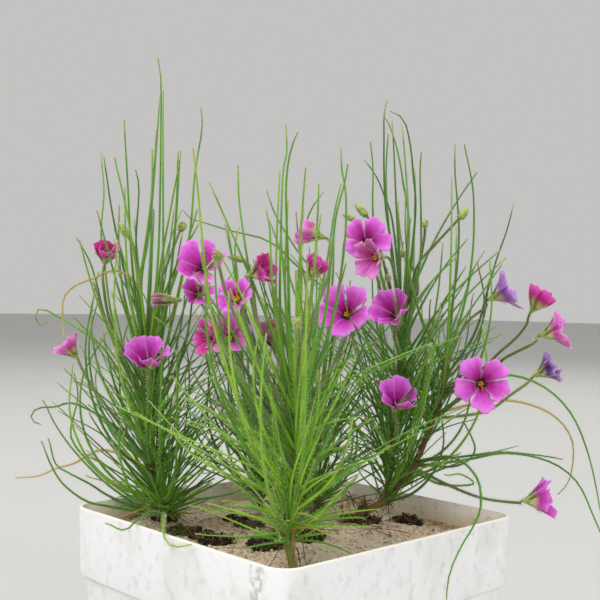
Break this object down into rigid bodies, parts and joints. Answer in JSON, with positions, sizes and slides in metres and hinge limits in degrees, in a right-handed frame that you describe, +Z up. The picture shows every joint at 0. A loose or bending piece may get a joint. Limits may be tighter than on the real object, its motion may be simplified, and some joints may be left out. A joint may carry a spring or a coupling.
{
  "type": "potted byblis lamellata",
  "caption": "Square white plastic planter filled with sandy soil and planted with upright tufts of thread-like sticky leaves and broad-petalled magenta flowers.",
  "frame": {"origin": "middle of the planter's foot, on the surface that it stands on", "axes": "+Z up along the planter's height; X and Y along the planter's sides; the corner seen in front in the picture is at +X, -Y"},
  "size_m": [0.3166, 0.3162, 0.4656],
  "materials": {
    "pot": "weathered white moulded plastic, faint streaks and dusty smudges",
    "soil": "pale sandy soil with dark bits and moss",
    "foliage": "fresh green, softly glossy, covered in fine sticky hairs",
    "petal": "magenta, satin, with darker veins",
    "petal_violet": "light violet with a pale foot, satin",
    "petal_wilted": "faded and crumpled, dull purple brown",
    "stamen": "matt golden yellow"
  },
  "bodies": {
    "root": {"pot": "pot", "soil": "soil", "plant_left": "foliage", "plant_front": "foliage", "plant_right": "foliage", "plant_rear": "foliage", "plant_left_rear": "foliage", "petals_01": "petal", "petals_02": "petal", "petals_03": "petal", "petals_04": "petal", "petals_05": "petal", "petals_06": "petal", "stamens_06": "stamen", "petals_07": "petal", "petals_08": "petal", "stamens_08": "stamen", "petals_09": "petal", "petals_10": "petal", "petals_11": "petal", "petals_12": "petal", "stamens_12": "stamen", "petals_13": "petal", "stamens_13": "stamen", "petals_14": "petal", "stamens_14": "stamen", "petals_15": "petal", "petals_16": "petal", "petals_17": "petal", "stamens_17": "stamen", "petals_18": "petal_violet", "stamens_18": "stamen", "petals_19": "petal", "petals_20": "petal", "stamens_20": "stamen", "petals_21": "petal_wilted", "petals_22": "petal", "petals_23": "petal_wilted", "petals_24": "petal_wilted"}
  },
  "joints": []
}
